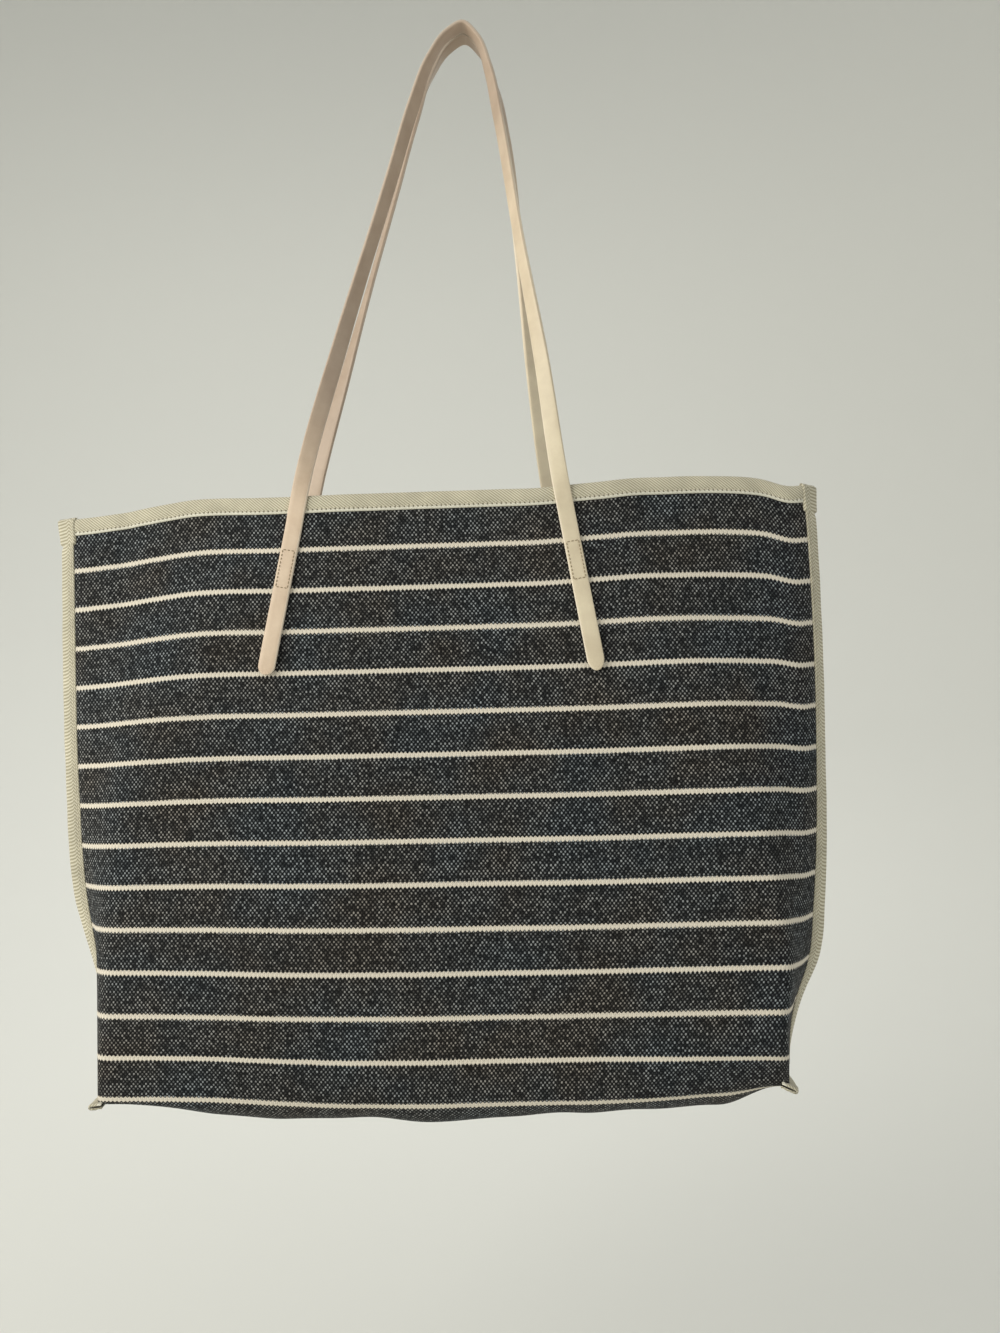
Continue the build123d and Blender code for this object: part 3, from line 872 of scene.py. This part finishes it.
def canvasMaterial():
    # heavy plain-weave cotton canvas, dark warp over a grey weft: a fine grid of dots, quite matt
    material, tree = startMaterial("plainWeaveCanvas")
    endPitch, pickPitch = 1.5 * mm, 1.8 * mm      # real ones are near 1.04 mm, drawn coarser to show
    place = add(tree, "UVMap", {"uv_map": "clothMetres"})
    wobble = add(tree, "TexNoise", {"Scale": 160.0, "Detail": 2.0}, {"Vector": place})
    shift = add(tree, "VectorMath:MULTIPLY_ADD", {1: (0.0009, 0.0007, 0)},
                {0: wobble.outputs["Color"], 2: place})
    parts = add(tree, "SeparateXYZ", {}, {0: shift})
    yarns = []
    for pitch, along, darkest, palest in ((endPitch, 0, 0.8, 1.15), (pickPitch, 1, 0.72, 1.2)):
        count = add(tree, "Math:DIVIDE", {1: pitch}, {0: parts.outputs[along]})
        index = add(tree, "Math:FLOOR", {}, {0: count})
        part = add(tree, "Math:FRACT", {}, {0: count})
        angle = add(tree, "Math:MULTIPLY", {1: math.pi}, {0: part})
        roundness = add(tree, "Math:SINE", {}, {0: angle})
        luck = add(tree, "TexWhiteNoise", {"noise_dimensions": "1D"}, {"W": index})
        shade = add(tree, "MapRange", span(0.0, 1.0, darkest, palest), {"Value": luck})
        yarns.append((count, index, roundness, shade))
    (ends, endIndex, endRound, endShade), (_, pickIndex, pickRound, pickShade) = yarns
    indexSum = add(tree, "Math:ADD", {}, {0: endIndex, 1: pickIndex})
    weftUp = add(tree, "Math:PINGPONG", {1: 1.0}, {0: indexSum})
    crown = add(tree, "Math:MULTIPLY", {}, {0: endRound, 1: pickRound})
    dot = add(tree, "Math:MULTIPLY", {}, {0: crown, 1: weftUp})
    # every crossing differs a little, and some yarns carry slubs
    cell = add(tree, "CombineXYZ", {}, {0: endIndex, 1: pickIndex})
    chance = add(tree, "TexWhiteNoise", {"noise_dimensions": "2D"}, {"Vector": cell})
    bright = add(tree, "MapRange", span(0.0, 1.0, 0.1, 1.5), {"Value": chance})
    yarnShade = add(tree, "Math:MULTIPLY", {}, {0: pickShade, 1: endShade})
    heather = add(tree, "TexNoise", {"Scale": 300.0, "Detail": 2.0}, {"Vector": place})
    patchy = add(tree, "MapRange", span(0.36, 0.64, 0.42, 1.55), {"Value": heather})
    yarn = add(tree, "Math:MULTIPLY", {}, {0: yarnShade, 1: patchy})
    speck = add(tree, "Math:MULTIPLY", {}, {0: bright, 1: yarn})
    dotShade = add(tree, "Math:MULTIPLY", {"use_clamp": True}, {0: dot, 1: speck})
    tone = add(tree, "TexNoise", {"Scale": 14.0, "Detail": 3.0}, {"Vector": place})
    toneRamp = add(tree, "MapRange", span(0.35, 0.65), {"Value": tone})
    warp = add(tree, "Mix:RGBA", {6: "#0F1316", 7: "#161412"}, {0: toneRamp})
    weft = add(tree, "Mix:RGBA", {6: "#8E9496", 7: "#8F8A82"}, {0: toneRamp})
    woven = add(tree, "Mix:RGBA", {}, {0: dotShade, 6: warp, 7: weft})
    slub = add(tree, "TexNoise", {"Scale": 330.0, "Detail": 1.0}, {"Vector": place})
    slubDark = add(tree, "MapRange", span(0.66, 0.72, 1.0, 0.35), {"Value": slub})
    slubbed = add(tree, "Mix:RGBA", {"blend_type": "MULTIPLY", 0: 1.0}, {6: woven, 7: slubDark})
    # stripes: a few picks of undyed yarn, with the dark ends biting into both edges as teeth
    fromFirst = add(tree, "Math:SUBTRACT", {1: bag["stripeFirst"] - bag["stripePitch"] / 2},
                    {0: parts.outputs[1]})
    repeat = add(tree, "Math:DIVIDE", {1: bag["stripePitch"]}, {0: fromFirst})
    within = add(tree, "Math:FRACT", {}, {0: repeat})
    centred = add(tree, "Math:SUBTRACT", {1: 0.5}, {0: within})
    offset = add(tree, "Math:MULTIPLY", {1: bag["stripePitch"]}, {0: centred})
    pair = add(tree, "Math:MULTIPLY", {1: math.pi}, {0: ends})
    wave = add(tree, "Math:SINE", {}, {0: pair})
    tooth = add(tree, "Math:MULTIPLY", {1: 0.55 * mm}, {0: wave})
    bent = add(tree, "Math:ADD", {}, {0: offset, 1: tooth})
    away = add(tree, "Math:ABSOLUTE", {}, {0: bent})
    stripe = add(tree, "MapRange", span(1.45 * mm, 1.95 * mm, 1.0, 0.0), {"Value": away})
    ribbing = add(tree, "MapRange", span(-1.0, 1.0, 0.0, 0.35), {"Value": wave})
    undyed = add(tree, "Mix:RGBA", {6: "#D6CEBE", 7: "#A69D8D"}, {0: ribbing})
    colour = add(tree, "Mix:RGBA", {}, {0: stripe, 6: slubbed, 7: undyed})
    warpUp = add(tree, "Math:SUBTRACT", {0: 1.0}, {1: weftUp})
    lift = add(tree, "Math:MULTIPLY_ADD", {1: 0.35, 2: 0.5}, {0: warpUp})
    height = add(tree, "Math:MULTIPLY", {}, {0: crown, 1: lift})
    finishSurface(tree, colour, height, 0.7, 0.35 * mm, {"Roughness": 0.95, "Specular IOR Level": 0.15,
                  "Sheen Weight": 0.05, "Sheen Roughness": 0.5})
    return material


def tapeMaterial():
    # unbleached cotton twill tape: slanting ribs, soft and matt, a little paler below its stitching, partly
    # as painted light
    material, tree, place, parts = startSurface("cottonTwillTape")
    ribPitch = 2.6 * mm            # real ribs are near 0.8 mm, drawn coarser to show
    # both faces of the folded tape are measured from their sewn edge
    fromEdge = add(tree, "Math:PINGPONG", {1: tape["width"] / 2 + 2.2 * mm}, {0: parts})
    fibre = add(tree, "TexNoise", {"Scale": 900.0, "Detail": 3.0}, {"Vector": place})
    tone = add(tree, "TexNoise", {"Scale": 45.0, "Detail": 4.0}, {"Vector": place})
    ribShade = slantingWave(tree, fromEdge, parts.outputs[1], 1.2, ribPitch)
    base = add(tree, "Mix:RGBA", {6: "#99927A", 7: "#D3CDB8"}, {0: ribShade})
    toneRamp = add(tree, "MapRange", span(0.3, 0.7, 0.82, 1.06), {"Value": tone})
    toned = add(tree, "Mix:RGBA", {"blend_type": "MULTIPLY", 0: 1.0}, {6: base, 7: toneRamp})
    # paler below the stitching, partly a lighter selvage and partly painted light for the shade on the tape's
    # upper part, with painted shade in a dimple wherever the thread goes through
    selvageAndPaintedLight = add(tree, "MapRange", span(2.9 * mm, 3.6 * mm, 0.7, 0.0), {"Value": fromEdge})
    withSelvageLight = add(tree, "Mix:RGBA", {7: "#DCD9CA"}, {0: selvageAndPaintedLight, 6: toned})
    offLine = add(tree, "Math:SUBTRACT", {1: tape["stitchInset"]}, {0: fromEdge})
    nearLine = add(tree, "Math:ABSOLUTE", {}, {0: offLine})
    line = add(tree, "MapRange", span(0.45 * mm, 1.0 * mm, 1.0, 0.0), {"Value": nearLine})
    turn = add(tree, "Math:MULTIPLY_ADD", {1: 2 * math.pi / tape["stitchPitch"], 2: -2 * math.pi * 0.615},
               {0: parts.outputs[1]})
    between = add(tree, "Math:COSINE", {}, {0: turn})
    hole = add(tree, "MapRange", span(0.1, 0.8), {"Value": between})
    # painted shade: a dark spot on the stitch line between stitches, for the shadow in each thread hole
    paintedDimpleShade = add(tree, "Math:MULTIPLY", {}, {0: line, 1: hole})
    sewn = add(tree, "Mix:RGBA", {7: "#6F6955"}, {0: paintedDimpleShade, 6: withSelvageLight})
    heightSum = add(tree, "Math:MULTIPLY_ADD", {1: 0.35}, {0: fibre, 2: ribShade})
    finishSurface(tree, sewn, heightSum, 0.6, 0.25 * mm, {"Roughness": 0.88, "Specular IOR Level": 0.3,
                  "Sheen Weight": 0.15, "Sheen Roughness": 0.4})
    return material


def leatherMaterial():
    # undyed vegetable-tanned cowhide, cut and burnished: smooth, warm and satin, paler at the edges
    material, tree, place, parts = startSurface("vegetableTannedLeather")
    # the strip is mapped round its outline, so the distance across runs from one edge to the other and back
    fromSide = add(tree, "Math:PINGPONG", {1: strap["width"] / 2 + 1.2 * mm}, {0: parts})
    edge = add(tree, "MapRange", span(0.0, 1.6 * mm, 1.0, 0.0), {"Value": fromSide})
    mottle = add(tree, "TexNoise", {"Scale": 38.0, "Detail": 5.0, "Roughness": 0.6}, {"Vector": place})
    grain = add(tree, "TexVoronoi", {"Scale": 1400.0}, {"Vector": place})
    mottleRamp = add(tree, "MapRange", span(0.3, 0.7), {"Value": mottle})
    # painted shade: the strip is pinker towards its left end, for the shade that leg hangs in, and creamier
    # towards its right end
    paintedShadeDrift = add(tree, "MapRange", span(0.6, 0.85), {"Value": parts.outputs[1]})
    deep = add(tree, "Mix:RGBA", {6: "#C4AE96", 7: "#C2B49A"}, {0: paintedShadeDrift})
    pale = add(tree, "Mix:RGBA", {6: "#D6C2AA", 7: "#D4C8AD"}, {0: paintedShadeDrift})
    body = add(tree, "Mix:RGBA", {}, {0: mottleRamp, 6: deep, 7: pale})
    colour = add(tree, "Mix:RGBA", {7: "#E4D8C4"}, {0: edge, 6: body})
    # painted shade: darker and greyer over the loop, for the shade it hangs in towards the hook
    fromLoopShadeMiddle = add(tree, "Math:SUBTRACT", {1: 0.41}, {0: parts.outputs[1]})
    loopShadeSpan = add(tree, "Math:ABSOLUTE", {}, {0: fromLoopShadeMiddle})
    loopShadeMask = add(tree, "MapRange", span(0.2, 0.29, 1.0, 0.0), {"Value": loopShadeSpan})
    shadedLeather = add(tree, "Mix:RGBA", {"blend_type": "MULTIPLY", 7: "#D2CFD0"}, {0: loopShadeMask, 6: colour})
    fine = add(tree, "TexNoise", {"Scale": 1800.0, "Detail": 2.0}, {"Vector": place})
    heightSum = add(tree, "Math:ADD", {}, {0: grain, 1: fine})
    gloss = add(tree, "MapRange", span(0.3, 0.7, 0.42, 0.58), {"Value": mottle})
    finishSurface(tree, shadedLeather, heightSum, 0.08, 0.1 * mm, {"Specular IOR Level": 0.4},
                  {"Roughness": gloss})
    return material


def threadMaterial(name, dark, light, roughness):
    # twisted thread: a fine slanting twist that catches the light along each stitch
    material, tree, _, parts = startSurface(name)
    shade = slantingWave(tree, parts.outputs[0], parts.outputs[1], 1.0, 0.55 * mm)
    colour = add(tree, "Mix:RGBA", {6: dark, 7: light}, {0: shade})
    finishSurface(tree, colour, shade, 0.5, 0.1 * mm, {"Roughness": roughness})
    return material


# a pale floor that curves up into a round wall, and plain soft light, in metres and watts
studio = {
    "floorDrop": 0.32,             # the bag hangs this far above the floor
    "coveRadius": 4.4,
    "coveBend": 2.8,
    "wallHeight": 5.0,
    "sides": 96,
    "colour": "#D6D6D0",
    "skyColour": "#F4F5F2",
    "skyStrength": 0.6,
    # name, place, size, watts, colour
    "lights": [("windowLight", (-1.7, -1.2, 1.05), 1.7, 50, "#FFFDF8"),
               ("fillLight", (1.7, -1.2, 0.6), 1.6, 9, "#F4F7FF"),
               ("backLight", (0.4, 1.9, 1.9), 1.6, 6, "#FFFFFF"),
               ("wallLight", (-0.7, 0.9, 2.2), 1.4, 44, "#FFFFFF")],
}


def makeStudio():
    material, tree = startMaterial("palePaper")
    shader = add(tree, "BsdfPrincipled", {"Base Color": studio["colour"], "Roughness": 0.95,
                 "Specular IOR Level": 0.1})
    add(tree, "OutputMaterial", {}, {"Surface": shader})
    floorZ, radius, bend = -studio["floorDrop"], studio["coveRadius"], studio["coveBend"]
    outline = [(0.001, floorZ), (1.2, floorZ), (radius - bend, floorZ)]
    for i in range(1, 13):
        angle = math.pi / 2 * i / 12
        outline.append((radius - bend * (1 - math.sin(angle)), floorZ + bend * (1 - math.cos(angle))))
    outline.append((radius, floorZ + studio["wallHeight"]))
    sides = studio["sides"]
    points = [(r * math.cos(2 * math.pi * k / sides), r * math.sin(2 * math.pi * k / sides), z)
              for r, z in outline for k in range(sides)]
    faces = ringFaces(0, len(outline), sides)
    floor = meshPiece("studioFloor", points, faces)
    floor.data.materials.append(material)
    world = bpy.data.worlds.new("studioWorld")
    world.use_nodes = True
    sky = world.node_tree.nodes["Background"]
    sky.inputs[0].default_value = linear(studio["skyColour"])
    sky.inputs[1].default_value = studio["skyStrength"]
    bpy.context.scene.world = world
    for name, place, size, watts, colour in studio["lights"]:
        data = bpy.data.lights.new(name, "AREA")
        data.size = size
        data.energy = watts
        data.color = linear(colour)[:3]
        lamp = bpy.data.objects.new(name, data)
        lamp.location = place
        target = (0, radius, 0.7) if name == "wallLight" else (0, 0, 0.35)
        lamp.rotation_euler = (Vector(target) - Vector(place)).to_track_quat("-Z", "Y").to_euler()
        bpy.context.scene.collection.objects.link(lamp)


def dress(piece, material, node):
    piece.data.materials.clear()
    piece.data.materials.append(material)
    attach(piece, "bag")
    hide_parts(node)


makeCamera()
makeStudio()
print("studio ready")

canvasCloth = canvasMaterial()
twill = tapeMaterial()
leather = leatherMaterial()
tapeThread = threadMaterial("cottonThread", "#B8AF98", "#DDD6C4", 0.8)
# the handle thread is darker than its own tan, partly as painted shade for the groove it is sewn into
handleThread = threadMaterial("waxedThread", "#7A6A50", "#A8977A", 0.55)
print("materials ready")

canvas, outline = makeCanvas()
canvas = finishCanvas(canvas)
print("canvas shaped", len(canvas.data.vertices))

for face, sign in (("front", -1), ("back", 1)):
    frames = edgeFrames(outline, sign)
    binding, length = makeBinding("topBinding" + face.capitalize(), sign, frames)
    dress(binding, twill, "top_binding_" + face)
    stitches = bindingStitches("bindingStitches" + face.capitalize(), sign, frames)
    dress(stitches, tapeThread, "binding_thread_" + face)
    print("binding", face)

for name, side in (("left", -1), ("right", 1)):
    sideTape, length = makeSideTape("sideSeamTape" + name.capitalize(), side, outline)
    dress(sideTape, twill, "side_seam_tape_" + name)
    stitches = sideStitches("sideStitches" + name.capitalize(), side, outline)
    dress(stitches, tapeThread, "side_seam_thread_" + name)
    cornerTape, length = makeCornerTape("cornerTape" + name.capitalize(), side, outline)
    dress(cornerTape, twill, "corner_tape_" + name)
    print("side", name)

for face, sign in (("front", -1), ("back", 1)):
    handle = makeHandle(canvas, "handle" + face.capitalize(), sign)
    handle.data.materials.append(leather)
    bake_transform(handle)
    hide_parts("handle_" + face, "handle_ends_" + face)
    stitches = boxStitches(canvas, "handleStitches" + face.capitalize(), sign)
    dress(stitches, handleThread, "handle_box_thread_" + face)
    print("handle", face)

canvas = thickenCanvas(canvas)
dress(canvas, canvasCloth, "canvas_body")

bpy.context.scene.view_settings.view_transform = "Standard"
